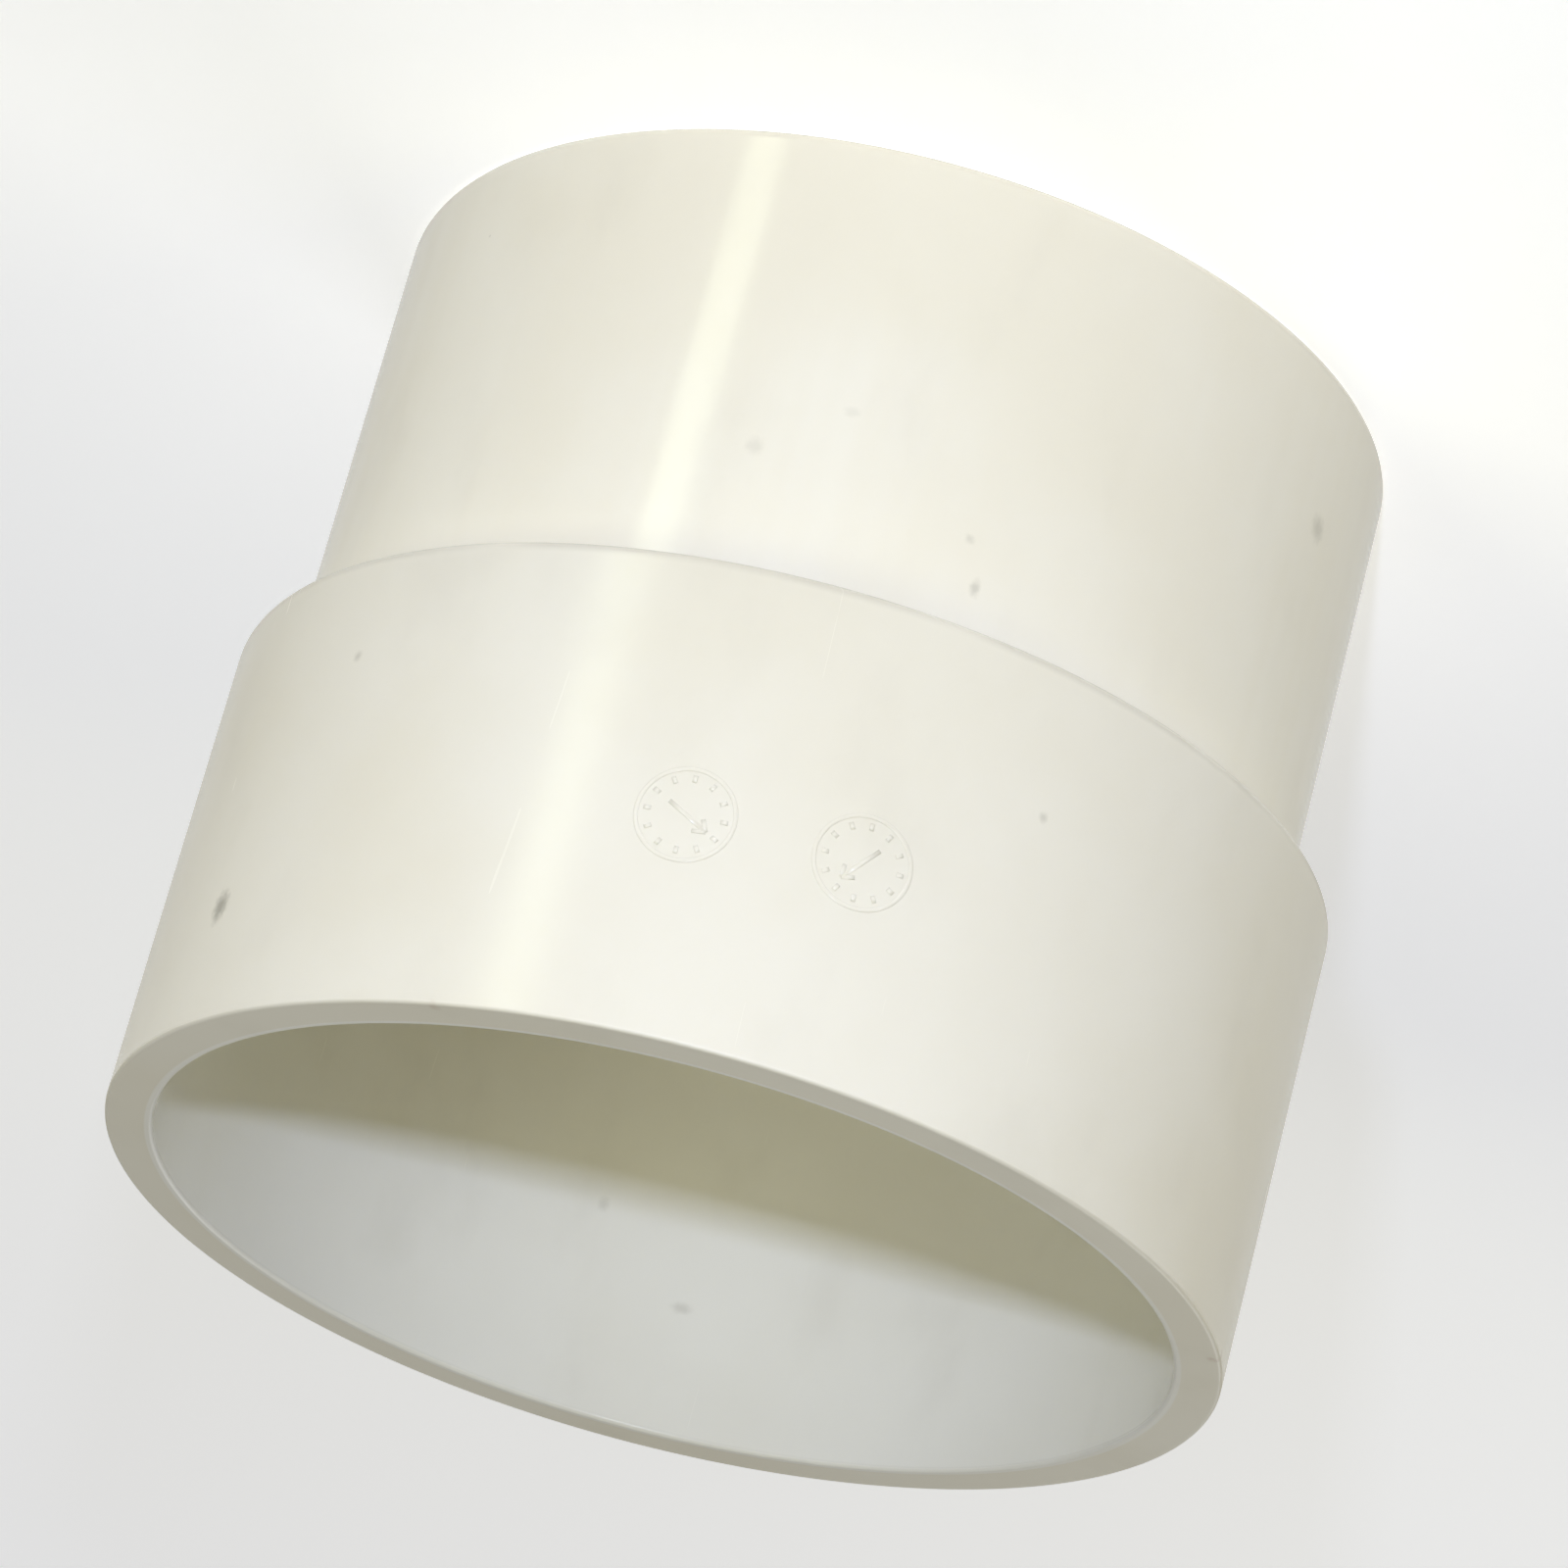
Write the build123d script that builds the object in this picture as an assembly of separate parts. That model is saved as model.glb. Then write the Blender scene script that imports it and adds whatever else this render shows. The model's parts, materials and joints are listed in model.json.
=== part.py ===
from build123d import *
import math
import os

# A solvent-weld PVC cap for 4 inch (DN 100) drain pipe, in millimetres.
# Origin: centre of the closed end's outer face. +Z points out of the pipe socket's mouth.

# Driving dimensions
pipe_od = 114.3            # outside diameter of the pipe, and of the barrel cut from the same tube
pipe_wall = 6.0            # wall of that tube
pipe_gap = 0.15            # radial gap between a pipe and the collar's bore
collar_od = 125.4          # outside diameter of the socket collar
collar_length = 54.6       # length of the socket collar
overall_length = 109.5     # closed face to mouth
socket_depth = 48.0        # how far a pipe goes in before it meets the barrel's end
disc_thickness = 6.0       # plate that closes the barrel
disc_seat = 2.6            # width of the ledge inside the barrel that the plate stands on
disc_gap = 0.1             # radial gap between the plate and its seat

# Edge details
mouth_chamfer = 0.3        # broken edge at the mouth of the bore
mouth_radius = 0.4         # outer edge of the mouth
back_radius = 1.0          # outer edge of the collar's back
groove_width = 1.6         # relief groove round the barrel's end, which stops cement running up the bore
groove_depth = 0.8
closed_radius = 1.2        # outer edge of the closed end
barrel_chamfer = 1.0       # both edges of the barrel's end inside the collar
cement_chamfer = 1.0       # bevel at the back of the collar's bore, which holds the cement
cement_fillet = 0.6        # how far the cement stands out of that bevel, along the barrel
weld_bevel = 2.2           # depth of the weld's V groove, shared by barrel and plate
weld_recess = 0.3          # how far the bead stays below the closed face

# Derived sizes
barrel_r = pipe_od / 2
barrel_bore_r = barrel_r - pipe_wall
bore_r = barrel_r + pipe_gap
collar_r = collar_od / 2
seat_r = barrel_bore_r + disc_seat
disc_r = seat_r - disc_gap
collar_back = overall_length - collar_length
barrel_end = overall_length - socket_depth
lap_end = barrel_end - groove_width


def turned(*outline):
    """A solid of revolution about Z from the corners (radius, height) of its section."""
    section = make_face(Polyline(*[(r, 0, z) for r, z in outline], close=True))
    return revolve(section, Axis.Z)


def edges_at(shape, radius, height):
    """The circular edges of a turned shape at a radius and height."""
    rings = shape.edges().filter_by(GeomType.CIRCLE)
    return rings.filter_by(
        lambda edge: math.isclose(edge.radius, radius, abs_tol=1e-4)
        and math.isclose(edge.arc_center.Z, height, abs_tol=1e-4)
    )


def socket_collar():
    """Sleeve: a broken edge at the mouth, a groove at the barrel's end, a cement bevel at the back."""
    sleeve = turned(
        (bore_r + mouth_chamfer, overall_length),
        (collar_r, overall_length),
        (collar_r, collar_back),
        (bore_r + cement_chamfer, collar_back),
        (bore_r, collar_back + cement_chamfer),
        (bore_r, lap_end),
        (bore_r + groove_depth, lap_end),
        (bore_r + groove_depth, barrel_end),
        (bore_r, barrel_end),
        (bore_r, overall_length - mouth_chamfer),
    )
    sleeve = fillet(edges_at(sleeve, collar_r, overall_length), mouth_radius)
    return fillet(edges_at(sleeve, collar_r, collar_back), back_radius)


def barrel():
    """Stub of pipe: its chamfered end is the pipe stop, its other end is rebated for the plate."""
    tube = turned(
        (seat_r + weld_bevel / 2, 0),
        (barrel_r, 0),
        (barrel_r, barrel_end - barrel_chamfer),
        (barrel_r - barrel_chamfer, barrel_end),
        (barrel_bore_r + barrel_chamfer, barrel_end),
        (barrel_bore_r, barrel_end - barrel_chamfer),
        (barrel_bore_r, disc_thickness),
        (seat_r, disc_thickness),
        (seat_r, weld_bevel),
    )
    return fillet(edges_at(tube, barrel_r, 0), closed_radius)


def end_disc():
    """Flat plate, bevelled round its outer face to make the inner side of the weld groove."""
    return turned(
        (0, 0),
        (disc_r - weld_bevel / 2, 0),
        (disc_r, weld_bevel),
        (disc_r, disc_thickness),
        (0, disc_thickness),
    )


def collar_cement():
    """Cement film filling the lap between barrel and collar, with a fillet at the collar's back."""
    return turned(
        (barrel_r, collar_back - cement_fillet),
        (bore_r + cement_chamfer, collar_back),
        (bore_r, collar_back + cement_chamfer),
        (bore_r, lap_end),
        (barrel_r, lap_end),
    )


def disc_weld():
    """Bead in the V groove round the plate, with the cement film that fills the gap above it."""
    half_width = (weld_bevel - weld_recess) / 2
    return turned(
        (disc_r - half_width, weld_recess),
        (seat_r + half_width, weld_recess),
        (seat_r, weld_bevel),
        (seat_r, disc_thickness),
        (disc_r, disc_thickness),
        (disc_r, weld_bevel),
    )


os.makedirs("parts", exist_ok=True)
for make in (socket_collar, barrel, end_disc, collar_cement, disc_weld):
    export_step(make(), f"parts/{make.__name__}.step")
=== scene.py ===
import json
import math

import bmesh
import bpy
from mathutils import Matrix, Vector


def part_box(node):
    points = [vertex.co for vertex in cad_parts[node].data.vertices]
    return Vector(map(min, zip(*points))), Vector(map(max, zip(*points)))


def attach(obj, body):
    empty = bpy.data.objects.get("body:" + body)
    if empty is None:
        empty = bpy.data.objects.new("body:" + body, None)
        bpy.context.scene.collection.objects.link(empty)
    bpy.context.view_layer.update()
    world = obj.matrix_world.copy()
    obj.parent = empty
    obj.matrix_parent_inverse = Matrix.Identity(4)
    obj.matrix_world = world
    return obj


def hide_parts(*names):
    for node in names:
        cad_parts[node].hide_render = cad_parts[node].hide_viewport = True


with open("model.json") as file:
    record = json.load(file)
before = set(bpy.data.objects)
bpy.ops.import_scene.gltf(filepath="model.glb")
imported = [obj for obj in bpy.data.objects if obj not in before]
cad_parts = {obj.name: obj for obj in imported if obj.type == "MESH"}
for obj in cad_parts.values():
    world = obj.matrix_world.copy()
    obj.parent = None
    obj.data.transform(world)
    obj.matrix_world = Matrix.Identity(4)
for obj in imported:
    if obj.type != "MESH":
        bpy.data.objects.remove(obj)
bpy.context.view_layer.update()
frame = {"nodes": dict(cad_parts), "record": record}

# The cap stands on its closed end, mouth up, with its axis on Z. Everything is in metres.
MM = 0.001
COLLAR_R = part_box("socket_collar")[1].x
COLLAR_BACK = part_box("socket_collar")[0].z
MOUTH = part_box("socket_collar")[1].z
BARREL_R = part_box("barrel")[1].x
BARREL_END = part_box("barrel")[1].z
DISC_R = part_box("end_disc")[1].x
DISC_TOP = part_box("end_disc")[1].z
MOUNTS = {mount["name"]: mount for mount in frame["record"]["mounts"]}
BORE_R = MOUNTS["pipe_socket"]["dims"]["r_mm"] * MM
BORE_TOP = BARREL_END + MOUNTS["pipe_socket"]["dims"]["length_mm"] * MM

# Base colours, linear. PVC yellows where light and hands reach it. The inside colours are paler and
# cooler: partly unyellowed PVC, partly painted light for the cool lamp that lights the bore.
AGED = (0.84, 0.805, 0.70)
AGED_DEEP = (0.81, 0.765, 0.64)
# Painted shade: the collar's colours are a little darker than the barrel's, to even out the stronger
# lamp light that falls on the collar.
MOULDED_SHADED = (0.79, 0.755, 0.655)
MOULDED_SHADED_DEEP = (0.76, 0.718, 0.60)
# Inside colours: partly unyellowed PVC, partly painted light, paler and cooler for the cool lamp on the
# bore.
FRESH_AND_LIT = (0.93, 0.92, 0.87)
FRESH_AND_LIT_DEEP = (0.90, 0.885, 0.82)
SHEET = (0.80, 0.78, 0.70)
CEMENT = (0.76, 0.71, 0.56)
CEMENT_DEEP = (0.66, 0.59, 0.42)
WELD = (0.80, 0.765, 0.66)
WELD_SCORCH = (0.58, 0.47, 0.31)
# Dust colour, also used for painted shade at the collar's step and at the mouth edge.
DUST_AND_SHADE = (0.46, 0.43, 0.36)
DIRT = (0.17, 0.15, 0.10)
RUST = (0.34, 0.17, 0.09)

# A Mix node repeats its socket names for each kind of data. These are its colour sockets' numbers.
MIX_FIRST = 6
MIX_SECOND = 7
MIX_RESULT = 2


# ---------------------------------------------------------------- camera


def camera():
    """Long lens looking down into the mouth, rolled so that the mouth is low in the picture."""
    elevation = math.radians(23.70)
    roll = math.radians(180 + 15.23)
    distance = 0.8778
    target = Vector((0.0005, 0, MOUTH - 0.0584))
    back = Vector((0, -math.cos(elevation), math.sin(elevation)))
    data = bpy.data.cameras.new("camera")
    data.lens = 180.07
    data.sensor_width = 36
    data.clip_start = 0.01
    data.clip_end = 50
    view = bpy.data.objects.new("camera", data)
    level = (-back).to_track_quat("-Z", "Y")
    view.rotation_mode = "QUATERNION"
    view.rotation_quaternion = level @ Matrix.Rotation(roll, 3, "Z").to_quaternion()
    view.location = target + back * distance
    bpy.context.scene.collection.objects.link(view)
    bpy.context.scene.camera = view


# ---------------------------------------------------------------- material helpers


class Graph:
    """The node tree of one material. Values passed in are numbers, colours or sockets of other nodes."""

    def __init__(self, name):
        self.material = bpy.data.materials.new(name)
        self.material.use_nodes = True
        self.tree = self.material.node_tree
        self.shader = self.tree.nodes["Principled BSDF"]
        self.place = self.tree.nodes.new("ShaderNodeTexCoord").outputs["Object"]

    def put(self, socket, value):
        if isinstance(value, bpy.types.NodeSocket):
            self.tree.links.new(value, socket)
        elif socket.type == "RGBA":
            socket.default_value = (*value, 1)
        else:
            socket.default_value = value

    def maths(self, operation, first, second=0.0):
        node = self.tree.nodes.new("ShaderNodeMath")
        node.operation = operation
        self.put(node.inputs[0], first)
        self.put(node.inputs[1], second)
        return node.outputs[0]

    def vector(self, operation, first, second=(0, 0, 0)):
        node = self.tree.nodes.new("ShaderNodeVectorMath")
        node.operation = operation
        self.put(node.inputs[0], first)
        self.put(node.inputs[1], second)
        return node.outputs["Value" if operation == "LENGTH" else "Vector"]

    def noise(self, scale, detail=2.0, stretch=(1, 1, 1), offset=(0, 0, 0)):
        """Noise of about one blob per 1/scale metres, from 0 to 1."""
        node = self.tree.nodes.new("ShaderNodeTexNoise")
        moved = self.vector("ADD", self.vector("MULTIPLY", self.place, stretch), offset)
        self.put(node.inputs["Vector"], moved)
        node.inputs["Scale"].default_value = scale
        node.inputs["Detail"].default_value = detail
        return node.outputs["Fac"]

    def rise(self, value, low, high):
        """0 where value is at low, 1 where it is at high, and smooth between."""
        node = self.tree.nodes.new("ShaderNodeMapRange")
        node.interpolation_type = "SMOOTHSTEP"
        self.put(node.inputs["Value"], value)
        node.inputs["From Min"].default_value = low
        node.inputs["From Max"].default_value = high
        return node.outputs["Result"]

    def blend(self, factor, first, second):
        node = self.tree.nodes.new("ShaderNodeMix")
        node.data_type = "RGBA"
        self.put(node.inputs["Factor"], factor)
        self.put(node.inputs[MIX_FIRST], first)
        self.put(node.inputs[MIX_SECOND], second)
        return node.outputs[MIX_RESULT]

    def radius(self):
        return self.vector("LENGTH", self.vector("MULTIPLY", self.place, (1, 1, 0)))

    def height(self):
        node = self.tree.nodes.new("ShaderNodeSeparateXYZ")
        self.put(node.inputs[0], self.place)
        return node.outputs["Z"]

    def bump(self, relief_mm):
        """Shading relief from a height in millimetres."""
        node = self.tree.nodes.new("ShaderNodeBump")
        node.inputs["Strength"].default_value = 1
        node.inputs["Distance"].default_value = MM
        self.put(node.inputs["Height"], relief_mm)
        self.put(self.shader.inputs["Normal"], node.outputs["Normal"])

    def finish(self, colour, roughness, ior=1.53):
        self.put(self.shader.inputs["Base Color"], colour)
        self.put(self.shader.inputs["Roughness"], roughness)
        self.shader.inputs["IOR"].default_value = ior
        return self.material


def total(graph, *terms):
    """Sum of (socket, weight) terms."""
    result = 0.0
    for socket, weight in terms:
        result = graph.maths("ADD", graph.maths("MULTIPLY", socket, weight), result)
    return result


def around(angle, radius, height):
    """Point on a cylinder about Z. The angle is in degrees, 0 facing -Y and 90 facing +X."""
    turn = math.radians(angle)
    return Vector((radius * math.sin(turn), -radius * math.cos(turn), height))


def spots(graph, marks, radius):
    """Soft-edged marks, each (angle, height mm, width mm, length mm, strength), and 0 elsewhere."""
    covered = 0.0
    ragged = graph.maths("MULTIPLY", graph.noise(1500), 0.9)
    for angle, height, width, length, strength in marks:
        centre = around(angle, radius, height * MM)
        size = (2 / (width * MM), 2 / (width * MM), 2 / (length * MM))
        offset = graph.vector("MULTIPLY", graph.vector("SUBTRACT", graph.place, centre), size)
        inside = graph.rise(graph.maths("ADD", graph.vector("LENGTH", offset), ragged), 2.1, 0.6)
        covered = graph.maths("MAXIMUM", covered, graph.maths("MULTIPLY", inside, strength))
    return covered


def dust_specks(graph, cells_per_metre, share, size):
    """Pinhead specks, one in some of the cells of a Voronoi pattern. Size is a share of a cell."""
    node = graph.tree.nodes.new("ShaderNodeTexVoronoi")
    graph.put(node.inputs["Vector"], graph.place)
    node.inputs["Scale"].default_value = cells_per_metre
    dot = graph.rise(node.outputs["Distance"], size, size * 0.5)
    pick = graph.tree.nodes.new("ShaderNodeSeparateColor")
    graph.put(pick.inputs[0], node.outputs["Color"])
    chosen = graph.rise(pick.outputs[0], 1 - share, 1 - share + 0.01)
    return graph.maths("MULTIPLY", dot, chosen)


def scratches(graph, scale, stretch, offset, width):
    """Hairlines where a stretched noise passes through its middle value, broken up by a second noise."""
    field = graph.noise(scale, 0.0, stretch, offset)
    line = graph.rise(graph.maths("ABSOLUTE", graph.maths("SUBTRACT", field, 0.5)), width, 0.0)
    gaps = graph.rise(graph.noise(90, 1.0, (1, 1, 1), offset), 0.58, 0.68)
    return graph.maths("MULTIPLY", line, gaps)


# ---------------------------------------------------------------- materials


def moulded_pvc():
    """Collar: semi-gloss moulded ivory with a little orange peel, a paler bore that partly carries
    painted lamp light, painted shade at the step and the mouth edge, and a matt sawn mouth.
    """
    g = Graph("moulded_pvc")
    bore = g.rise(g.radius(), BORE_R + 1.0 * MM, BORE_R + 0.7 * MM)
    mouth_face = g.rise(g.height(), MOUTH - 0.45 * MM, MOUTH - 0.25 * MM)
    clouds = g.rise(g.noise(26, 3.0), 0.35, 0.68)
    haze = g.rise(g.noise(70, 4.0, (1, 1, 0.6), (3, 1, 2)), 0.52, 0.78)
    marks = spots(
        g,
        (
            (60.9, 95.3, 2.4, 3.1, 0.6),
            (49.7, 67.6, 1.0, 1.2, 0.25),
            (-25, 72, 0.9, 1.1, 0.25),
            (150, 88, 1.3, 2.2, 0.4),
        ),
        COLLAR_R,
    )
    rim_marks = spots(g, ((-76, 108.9, 1.5, 1.3, 0.5), (28, 109.2, 1.2, 0.9, 0.3)), COLLAR_R - 0.8 * MM)
    bore_marks = spots(g, ((-176, 93.8, 2.0, 1.2, 0.2), (172, 84, 1.2, 1.6, 0.15)), BORE_R)
    pinheads = dust_specks(g, 95, 0.10, 0.035)
    scuffs = scratches(g, 60, (1, 1, 0.03), (5, 2, 8), 0.002)
    # Painted shade: the collar's back edge by the step is darkened in patches with the dust colour.
    near_step = g.rise(g.height(), COLLAR_BACK + 1.5 * MM, COLLAR_BACK + 0.6 * MM)
    patches = g.rise(g.noise(45, 2.0, (1, 1, 1), (1, 8, 4)), 0.25, 0.60)
    step_shade = g.maths("MULTIPLY", near_step, patches)
    # Painted shade: a darker band round the top of the bore, at the mouth edge.
    mouth_edge_shade = g.maths("MULTIPLY", bore, g.rise(g.height(), BORE_TOP - 0.4 * MM, BORE_TOP))
    # The collar's base colour carries painted shade: it is darker than the barrel's to even out the lamp
    # light on the collar.
    colour = g.blend(clouds, MOULDED_SHADED, MOULDED_SHADED_DEEP)
    # The bore's paler, cooler colour is partly painted lamp light.
    colour = g.blend(bore, colour, g.blend(clouds, FRESH_AND_LIT, FRESH_AND_LIT_DEEP))
    # Dust haze, and painted shade at the mouth edge and at the step, all in the dust colour.
    colour = g.blend(total(g, (haze, 0.10), (mouth_edge_shade, 0.18), (step_shade, 0.34)), colour, DUST_AND_SHADE)
    colour = g.blend(total(g, (pinheads, 0.25)), colour, DIRT)
    colour = g.blend(g.maths("MAXIMUM", marks, bore_marks), colour, DIRT)
    colour = g.blend(rim_marks, colour, RUST)
    roughness = total(g, (clouds, 0.03), (haze, 0.06), (scuffs, 0.10), (mouth_face, 0.25))
    roughness = g.maths("ADD", roughness, 0.20)
    peel = g.noise(380, 1.5)
    flow = g.noise(60, 1.0, (1, 1, 0.25), (7, 7, 7))
    g.bump(total(g, (peel, 0.006), (flow, 0.05), (scuffs, -0.002)))
    return g.finish(colour, roughness)


def tube_pvc():
    """Barrel: glossier extruded tube with faint draw lines along it, sizing lines and handling marks."""
    g = Graph("tube_pvc")
    inner = g.rise(g.radius(), BARREL_R - 0.9 * MM, BARREL_R - 1.1 * MM)
    clouds = g.rise(g.noise(24, 3.0, (1, 1, 1), (4, 9, 1)), 0.35, 0.68)
    draw = g.noise(1500, 2.0, (1, 1, 0.012))
    broad_draw = g.noise(260, 1.0, (1, 1, 0.02), (2, 2, 2))
    haze = g.rise(g.noise(75, 4.0, (1, 1, 0.5), (8, 3, 5)), 0.52, 0.78)
    marks = spots(
        g,
        (
            (13.1, 38.6, 1.8, 1.8, 0.14),
            (3.9, 32.4, 1.6, 1.2, 0.10),
            (-11.8, 42.7, 1.0, 1.0, 0.18),
            (-13.7, 47.9, 1.0, 1.8, 0.28),
            (-58.8, 17.6, 2.6, 2.6, 0.25),
            (118, 30, 1.2, 2.2, 0.4),
            (-140, 22, 1.2, 1.2, 0.4),
        ),
        BARREL_R,
    )
    pinheads = dust_specks(g, 105, 0.10, 0.035)
    scuffs = scratches(g, 55, (1, 1, 0.03), (1, 6, 3), 0.002)
    colour = g.blend(clouds, AGED, AGED_DEEP)
    colour = g.blend(total(g, (g.rise(broad_draw, 0.4, 0.7), 0.25)), colour, AGED_DEEP)
    # The barrel's inside takes the same paler colour, which is partly painted lamp light.
    colour = g.blend(inner, colour, FRESH_AND_LIT)
    colour = g.blend(total(g, (haze, 0.10)), colour, DUST_AND_SHADE)
    colour = g.blend(total(g, (pinheads, 0.25), (marks, 1.0)), colour, DIRT)
    roughness = total(g, (draw, 0.04), (haze, 0.05), (scuffs, 0.10), (inner, 0.10))
    roughness = g.maths("ADD", roughness, 0.10)
    g.bump(total(g, (draw, 0.0012), (broad_draw, 0.006), (scuffs, -0.002)))
    return g.finish(colour, roughness)


def sheet_pvc():
    """End disc: satin pressed sheet, turned rings near its edge, scratches from standing on it."""
    g = Graph("sheet_pvc")
    clouds = g.rise(g.noise(30, 3.0, (1, 1, 1), (2, 2, 6)), 0.35, 0.68)
    grain = g.noise(900, 3.0)
    along_y = scratches(g, 35, (1, 0.2, 1), (3, 3, 3), 0.003)
    along_x = scratches(g, 35, (0.25, 1, 1), (6, 1, 3), 0.003)
    long_scratches = g.maths("MAXIMUM", along_y, along_x)
    grime = g.rise(g.noise(45, 4.0, (1, 1, 1), (9, 4, 0)), 0.5, 0.75)
    ring_spacing = 0.45 * MM
    rings = g.maths("SINE", g.maths("MULTIPLY", g.radius(), 2 * math.pi / ring_spacing))
    near_edge = g.rise(g.radius(), DISC_R - 9 * MM, DISC_R - 4 * MM)
    rings = g.maths("MULTIPLY", rings, near_edge)
    pinheads = dust_specks(g, 110, 0.14, 0.04)
    colour = g.blend(clouds, SHEET, AGED)
    colour = g.blend(total(g, (grime, 0.16), (long_scratches, 0.25)), colour, DUST_AND_SHADE)
    colour = g.blend(total(g, (pinheads, 0.5)), colour, DIRT)
    roughness = total(g, (grain, 0.10), (grime, 0.12), (long_scratches, 0.15))
    roughness = g.maths("ADD", roughness, 0.32)
    g.bump(total(g, (grain, 0.006), (rings, 0.0015), (long_scratches, -0.012)))
    return g.finish(colour, roughness)


def solvent_cement():
    """Set cement: clear amber skin, glossier than the PVC, with trapped bubbles."""
    g = Graph("solvent_cement")
    thickness = g.rise(g.noise(160, 3.0), 0.35, 0.7)
    bubbles = dust_specks(g, 700, 0.35, 0.20)
    colour = g.blend(thickness, CEMENT, CEMENT_DEEP)
    colour = g.blend(total(g, (bubbles, 0.35)), colour, (0.88, 0.86, 0.78))
    g.bump(total(g, (g.noise(500, 2.0), 0.03), (bubbles, 0.03)))
    return g.finish(colour, g.maths("ADD", total(g, (thickness, 0.08)), 0.08))


def weld_pvc():
    """Welded rod: satin, with the light browning that hot gas leaves beside the bead."""
    g = Graph("weld_pvc")
    scorch = g.rise(g.noise(120, 3.0), 0.52, 0.78)
    flow = g.noise(900, 2.0)
    colour = g.blend(total(g, (scorch, 0.55)), WELD, WELD_SCORCH)
    g.bump(total(g, (flow, 0.012)))
    return g.finish(colour, g.maths("ADD", total(g, (scorch, 0.12), (flow, 0.08)), 0.24))


def pale_floor():
    """Pale back-lit board with a fine tooth. It glows a little, so that shadows on it stay light."""
    g = Graph("pale_floor")
    tone = g.noise(3, 3.0)
    g.shader.inputs["Emission Color"].default_value = (1, 1, 1, 1)
    far_off = g.rise(g.radius(), 0.6, 1.4)
    g.put(g.shader.inputs["Emission Strength"], total(g, (far_off, 0.30), (1.0, 0.42)))
    g.bump(total(g, (g.noise(700, 2.0), 0.01)))
    return g.finish(g.blend(tone, (0.86, 0.86, 0.855), (0.88, 0.88, 0.88)), 0.85)


# ---------------------------------------------------------------- mesh pieces


def add_mesh(name, points, faces, material):
    mesh = bpy.data.meshes.new(name)
    mesh.from_pydata([tuple(point) for point in points], [], faces)
    mesh.materials.append(material)
    shell = bmesh.new()
    shell.from_mesh(mesh)
    bmesh.ops.recalc_face_normals(shell, faces=shell.faces)
    shell.to_mesh(mesh)
    shell.free()
    mesh.shade_smooth()
    piece = bpy.data.objects.new(name, mesh)
    bpy.context.scene.collection.objects.link(piece)
    return piece


def skin(sections, closed):
    """Points and faces of a tube through equal sections, joined end to end or capped."""
    size = len(sections[0])
    points = [point for section in sections for point in section]
    spans = len(sections) if closed else len(sections) - 1
    faces = []
    for span in range(spans):
        here = span * size
        there = (span + 1) % len(sections) * size
        for corner in range(size):
            after = (corner + 1) % size
            faces.append((here + corner, here + after, there + after, there + corner))
    if not closed:
        faces.append(tuple(reversed(range(size))))
        faces.append(tuple(range(len(points) - size, len(points))))
    return points, faces


def wander(angle, waves):
    """Smooth variation round a ring, from whole-number waves (count, share, phase)."""
    return sum(share * math.sin(count * angle + phase) for count, share, phase in waves)


def rounded(corners, arc_steps=6):
    """Closed outline from (radius, height, rounding) corners, with every corner turned into an arc."""
    outline = []
    for index, (r, z, rounding) in enumerate(corners):
        corner = Vector((r, z))
        before = Vector(corners[index - 1][:2]) - corner
        after = Vector(corners[(index + 1) % len(corners)][:2]) - corner
        half = before.angle(after) / 2
        inward = (before.normalized() + after.normalized()).normalized()
        centre = corner + inward * rounding / math.sin(half)
        start = corner + before.normalized() * rounding / math.tan(half) - centre
        end = corner + after.normalized() * rounding / math.tan(half) - centre
        for step in range(arc_steps + 1):
            share = step / arc_steps
            outline.append(centre + start.lerp(end, share).normalized() * rounding)
    return outline


def with_loops(outline, near=0.35 * MM, spacing=3.5 * MM):
    """Adds points to long straight runs: one near each end, for even shading, and more between."""
    filled = []
    for index, point in enumerate(outline):
        filled.append(point)
        run = outline[(index + 1) % len(outline)] - point
        if run.length > 3 * near:
            count = max(1, round((run.length - 2 * near) / spacing))
            for step in range(count + 1):
                filled.append(point + run.normalized() * (near + (run.length - 2 * near) * step / count))
    return filled


def turned(name, corners, waves, depth, material, steps=480):
    """A lathe-like body. Its walls run in and out by up to depth, as moulded and extruded walls do."""
    outline = with_loops(rounded(corners))
    reach = sum(share for count, share, phase in waves)

    def section(angle):
        shift = depth * (wander(angle, waves) / reach - 1) / 2
        return [(point.x + shift, point.y) for point in outline]

    return add_mesh(name, *ring_of(section, steps), material)


def collar_shell(material):
    """The collar with true round edges: sawn mouth, relief groove, cement bevel at the back."""
    sharp = 0.08 * MM
    worn = 0.35 * MM
    groove_r = BORE_R + 0.8 * MM
    lap_end = BARREL_END - 1.6 * MM
    bevel = 1.0 * MM
    corners = (
        (BORE_R + (MOUTH - BORE_TOP), MOUTH, worn),
        (BORE_R, BORE_TOP, worn),
        (BORE_R, BARREL_END, sharp),
        (groove_r, BARREL_END, sharp),
        (groove_r, lap_end, sharp),
        (BORE_R, lap_end, sharp),
        (BORE_R, COLLAR_BACK + bevel, sharp),
        (BORE_R + bevel, COLLAR_BACK, sharp),
        (COLLAR_R, COLLAR_BACK, 1.0 * MM),
        (COLLAR_R, MOUTH, 0.4 * MM),
    )
    waves = ((2, 1.0, 0.8), (3, 0.5, 2.2), (8, 0.15, 0.3), (13, 0.1, 1.7))
    return turned("collar_shell", corners, waves, 0.05 * MM, material)


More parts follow.
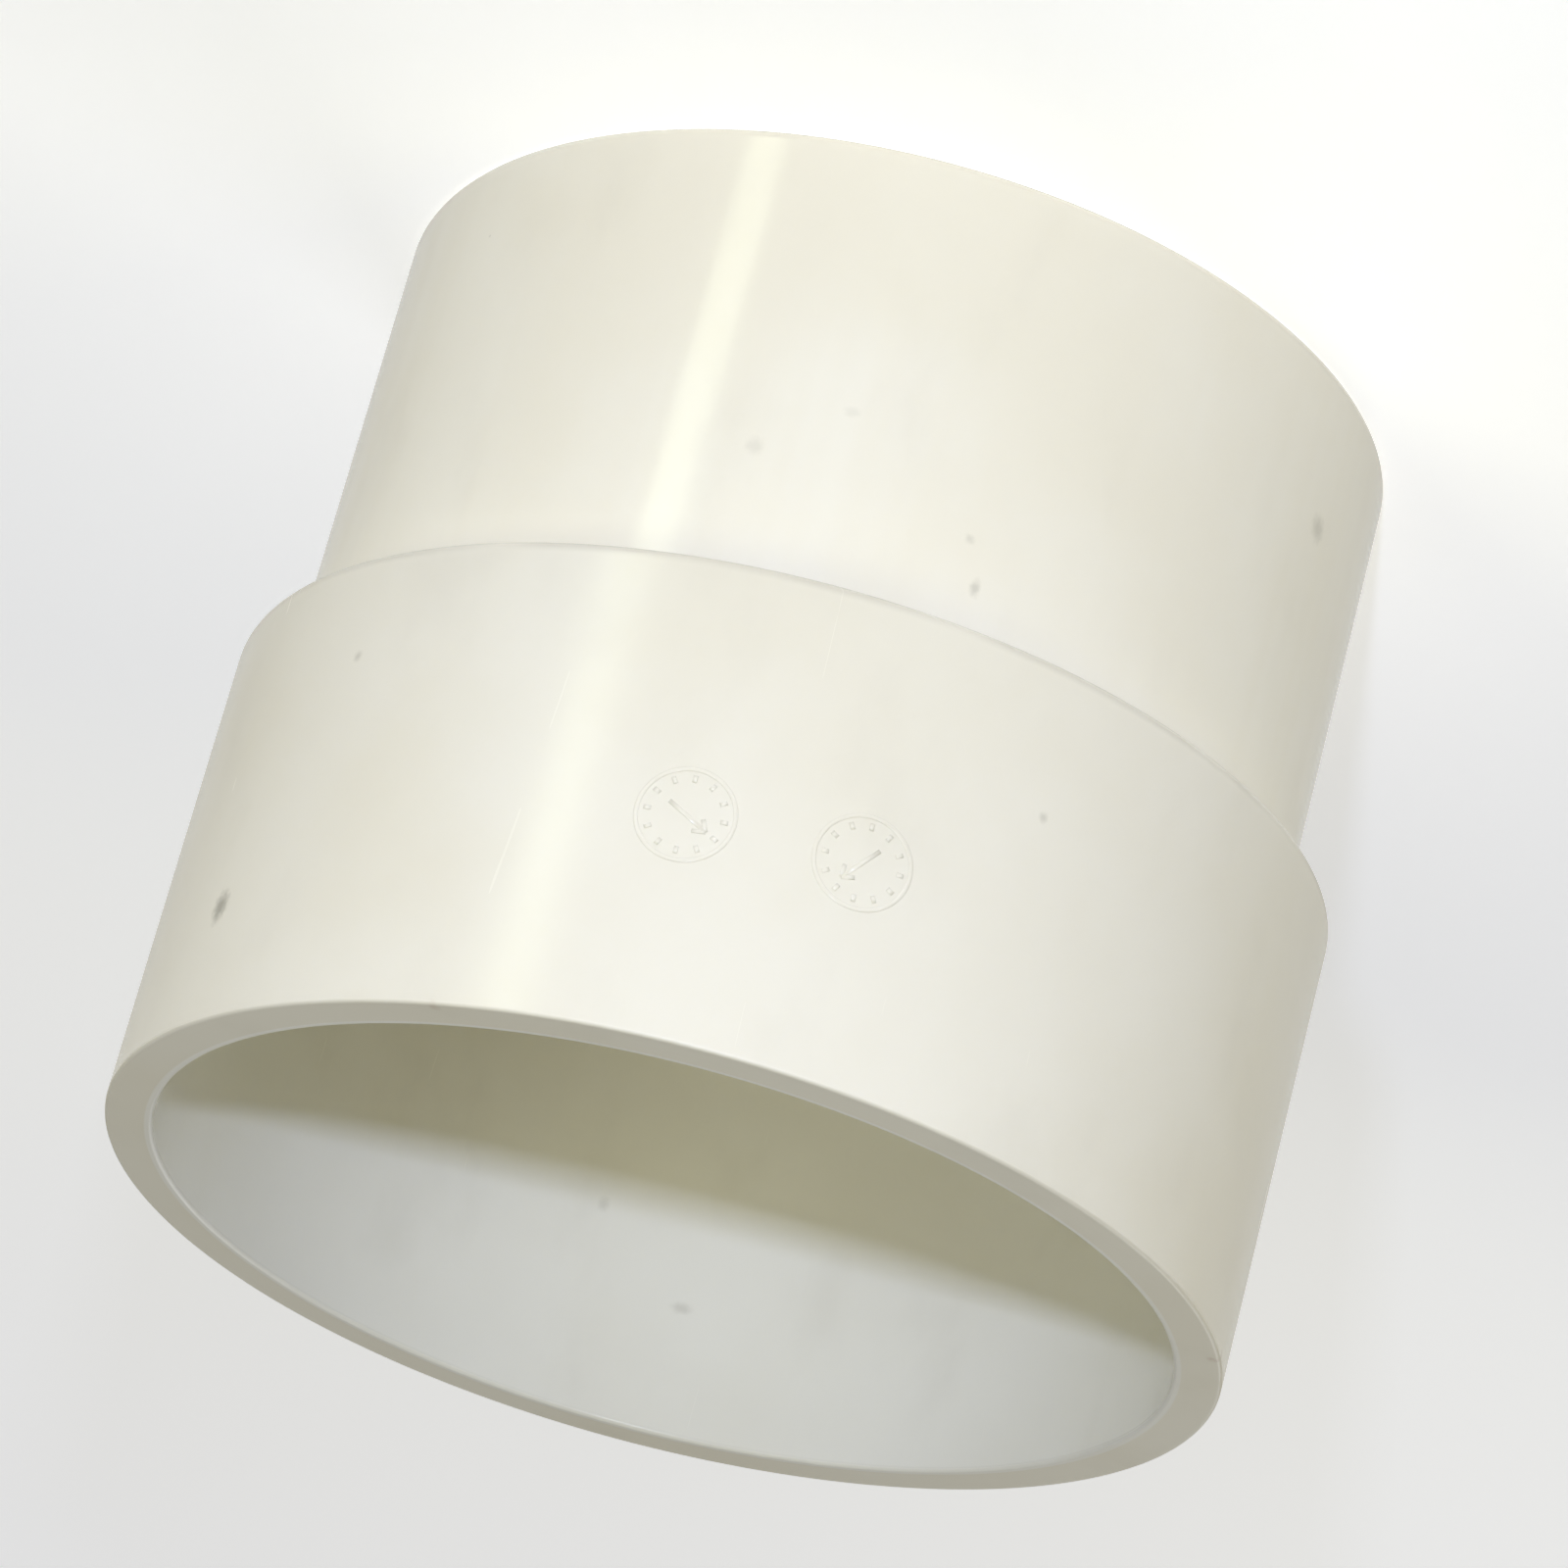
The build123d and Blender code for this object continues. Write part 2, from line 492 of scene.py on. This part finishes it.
def barrel_tube(material):
    """The barrel with true round edges: chamfered pipe stop, and the rebate and bevel for the disc."""
    sharp = 0.08 * MM
    wall = 6.0 * MM
    bore_r = BARREL_R - wall
    seat_r = DISC_R + 0.1 * MM
    bevel = 1.0 * MM
    weld_bevel = 2.2 * MM
    corners = (
        (seat_r + weld_bevel / 2, 0, sharp),
        (seat_r, weld_bevel, sharp),
        (seat_r, DISC_TOP, sharp),
        (bore_r, DISC_TOP, sharp),
        (bore_r, BARREL_END - bevel, sharp),
        (bore_r + bevel, BARREL_END, sharp),
        (BARREL_R - bevel, BARREL_END, sharp),
        (BARREL_R, BARREL_END - bevel, sharp),
        (BARREL_R, 0, 1.2 * MM),
    )
    waves = ((2, 1.0, 2.0), (4, 0.4, 0.5), (9, 0.2, 1.1), (21, 0.06, 0.0))
    return turned("barrel_tube", corners, waves, 0.03 * MM, material)


def ring_of(sections_at, steps):
    """A closed ring from a function that gives the (radius, height) corners at an angle in radians."""
    sections = []
    for step in range(steps):
        angle = 2 * math.pi * step / steps
        corners = sections_at(angle)
        sections.append([Vector((r * math.cos(angle), r * math.sin(angle), z)) for r, z in corners])
    return skin(sections, True)


def weld_bead(material):
    """Hot-gas weld in the V groove round the disc, in overlapping ripples."""
    middle = DISC_R + 0.05 * MM
    root = 2.15 * MM
    edge = 0.52 * MM
    ripples = 190
    steps_per_ripple = 9
    crown_steps = 8

    def section(angle):
        ripple = (angle * ripples / (2 * math.pi)) % 1.0
        swell = 0.07 * MM * math.sin(math.pi * ripple ** 0.6)
        half = 0.96 * MM + wander(angle, ((3, 0.02, 1), (17, 0.02, 2), (41, 0.012, 0))) * MM
        corners = [(middle, root)]
        for step in range(crown_steps + 1):
            across = math.cos(math.pi * step / crown_steps)
            crown = (0.22 * MM + swell) * math.sqrt(max(0.0, 1 - across * across))
            lag = 0.03 * MM * ripple * (1 - across * across)
            corners.append((middle + across * half, edge - crown + lag))
        return corners

    return add_mesh("weld_bead", *ring_of(section, ripples * steps_per_ripple), material)


def cement_bead(material):
    """Cement squeezed out at the collar's back: a fillet of uneven height with a few short runs."""
    runs = ((0.7, 0.9, 0.035), (2.1, 0.6, 0.05), (3.6, 1.0, 0.03), (4.4, 0.5, 0.06), (5.5, 0.8, 0.04))

    def section(angle):
        run = sum(depth * math.exp(-(((angle - at) / wide) ** 2)) for at, depth, wide in runs)
        drop = (0.55 + 0.15 * wander(angle, ((2, 1, 0.4), (7, 0.7, 1.9), (19, 0.5, 0.2))) + run) * MM
        lip = (0.25 + 0.12 * wander(angle, ((3, 1, 2.0), (11, 0.8, 0.7), (23, 0.5, 1.1)))) * MM
        foot = BARREL_R - 0.04 * MM
        return [
            (foot, COLLAR_BACK + 0.8 * MM),
            (foot, COLLAR_BACK - drop),
            (BARREL_R + 0.10 * MM, COLLAR_BACK - drop * 0.92),
            (BARREL_R + 0.34 * MM, COLLAR_BACK - drop * 0.62),
            (BARREL_R + 0.72 * MM, COLLAR_BACK - drop * 0.36),
            (BARREL_R + 1.12 * MM, COLLAR_BACK - 0.16 * MM),
            (BARREL_R + 1.15 * MM + lip, COLLAR_BACK - 0.05 * MM),
            (BARREL_R + 1.20 * MM + lip, COLLAR_BACK + 0.04 * MM),
        ]

    return add_mesh("cement_bead", *ring_of(section, 720), material)


def ridge(stroke, closed, half_width, rise):
    """A low half-round ridge along a stroke of (across, up) points drawn on the collar's outside."""
    profile = ((-1, -0.6), (-1, 0), (-0.7, 0.7), (0, 1), (0.7, 0.7), (1, 0), (1, -0.6))
    sections = []
    count = len(stroke)
    for index, (across, up) in enumerate(stroke):
        before = stroke[(index - 1) % count] if closed or index else stroke[index]
        after = stroke[(index + 1) % count] if closed or index < count - 1 else stroke[index]
        heading = Vector((after[0] - before[0], after[1] - before[1])).normalized()
        side = Vector((-heading.y, heading.x))
        section = []
        for share, lift in profile:
            x = across + side.x * share * half_width
            z = up + side.y * share * half_width
            section.append(around(math.degrees(x / COLLAR_R), COLLAR_R + lift * rise, z))
        sections.append(section)
    return skin(sections, closed)


def dial_strokes(across, up, hand):
    """A moulder's date dial without figures: a ring, twelve ticks and an arrow at the angle hand."""
    ring = 5.2 * MM
    tick_points = (3.7 * MM, 4.1 * MM, 4.5 * MM)
    arrow = 2.9 * MM

    def polar(reach, turn):
        return (across + reach * math.cos(turn), up + reach * math.sin(turn))

    strokes = [([polar(ring, math.pi * step / 30) for step in range(60)], True)]
    for tick in range(12):
        strokes.append(([polar(reach, math.pi * tick / 6) for reach in tick_points], False))
    tip = Vector((math.cos(hand), math.sin(hand))) * arrow
    side = Vector((-tip.y, tip.x)) * 0.3
    place = Vector((across, up))
    strokes.append(([tuple(place - tip * 0.8), tuple(place), tuple(place + tip)], False))
    for sign in (1, -1):
        barb = place + tip * 0.6 + side * sign
        strokes.append(([tuple(barb), tuple((barb + place + tip) / 2), tuple(place + tip)], False))
    return strokes


def date_dials(material):
    """Two plain dials raised on the collar's outside, as left by a mould's date inserts."""
    points = []
    faces = []
    up = MOUTH - 25 * MM
    half_width = 0.24 * MM
    rise = 0.05 * MM
    for across, hand in ((-9.5 * MM, 0.9), (9.5 * MM, 2.6)):
        for stroke, closed in dial_strokes(across, up, hand):
            more_points, more_faces = ridge(stroke, closed, half_width, rise)
            faces += [tuple(corner + len(points) for corner in face) for face in more_faces]
            points += more_points
    return add_mesh("date_dials", points, faces, material)


# ---------------------------------------------------------------- stage


def stage(material):
    """A wide flat floor. It doesn't hide the strip light below it, and no reflection shows it."""
    bpy.ops.mesh.primitive_plane_add(size=8)
    floor = bpy.context.object
    floor.name = "floor"
    floor.data.materials.append(material)
    floor.visible_glossy = False
    floor.visible_shadow = False


def backdrop():
    """Pale surroundings, seen and reflected. They give no diffuse light."""
    world = bpy.data.worlds.new("world")
    world.use_nodes = True
    glow = world.node_tree.nodes["Background"]
    glow.inputs["Color"].default_value = (0.84, 0.84, 0.82, 1)
    glow.inputs["Strength"].default_value = 0.8
    world.cycles_visibility.diffuse = False
    bpy.context.scene.world = world
    bpy.context.scene.view_settings.view_transform = "Standard"


def area_light(name, angle, elevation, distance, size, watts, colour, aim):
    """A soft light turned to the point aim, at an angle round Z and an elevation in degrees."""
    data = bpy.data.lights.new(name, "AREA")
    data.shape = "RECTANGLE"
    data.size, data.size_y = size
    data.energy = watts
    data.color = colour
    light = bpy.data.objects.new(name, data)
    towards = around(angle, math.cos(math.radians(elevation)), math.sin(math.radians(elevation)))
    light.location = aim + towards * distance
    light.rotation_mode = "QUATERNION"
    light.rotation_quaternion = (-towards).to_track_quat("-Z", "Y")
    light.visible_camera = False
    bpy.context.scene.collection.objects.link(light)
    return light


def lights():
    """A small cool lamp near the camera, soft boxes round the cap, and a strip for the highlight."""
    middle = Vector((0, 0, MOUTH / 2))
    mouth = Vector((0, 0, MOUTH))
    area_light("key", 2.5, 12.34, 0.611, (0.025, 0.025), 1.85, (0.66, 0.74, 1.0), mouth)
    for name, angle, elevation, watts, colour in (
        ("front", 0, 22, 1.15, (0.95, 0.90, 0.85)),
        ("left_front", 45, 35, 3.45, (1.0, 0.97, 0.66)),
        ("right_front", -45, 35, 1.80, (1.0, 0.92, 0.40)),
        ("left_back", 150, 35, 0.45, (0.50, 0.55, 1.0)),
        ("right_back", -150, 35, 3.50, (0.93, 0.94, 1.0)),
    ):
        area_light(name, angle, elevation, 1.2, (0.5, 0.5), watts, colour, middle)
    strip_angle = 42
    strip = area_light("strip", strip_angle, -23.7, 1.1, (0.155, 0.6), 0.85, (0.925, 1.0, 0.735), middle)
    strip.rotation_quaternion = (-around(strip_angle, 1, 0)).to_track_quat("-Z", "Y")
    strip.visible_diffuse = False


# ---------------------------------------------------------------- put together

skins = {make.__name__: make() for make in (moulded_pvc, tube_pvc, sheet_pvc, solvent_cement, weld_pvc)}
slots = {part["node"]: part["material_slot"] for part in frame["record"]["subparts"]}
for name, node in frame["nodes"].items():
    node.data.materials.clear()
    node.data.materials.append(skins[slots[name]])

for make, slot, stands_for in (
    (collar_shell, "moulded_pvc", "socket_collar"),
    (barrel_tube, "tube_pvc", "barrel"),
    (weld_bead, "weld_pvc", "disc_weld"),
    (cement_bead, "solvent_cement", "collar_cement"),
    (date_dials, "moulded_pvc", None),
):
    piece = make(skins[slot])
    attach(piece, "root")
    if stands_for:
        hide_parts(stands_for)

stage(pale_floor())
backdrop()
lights()
camera()
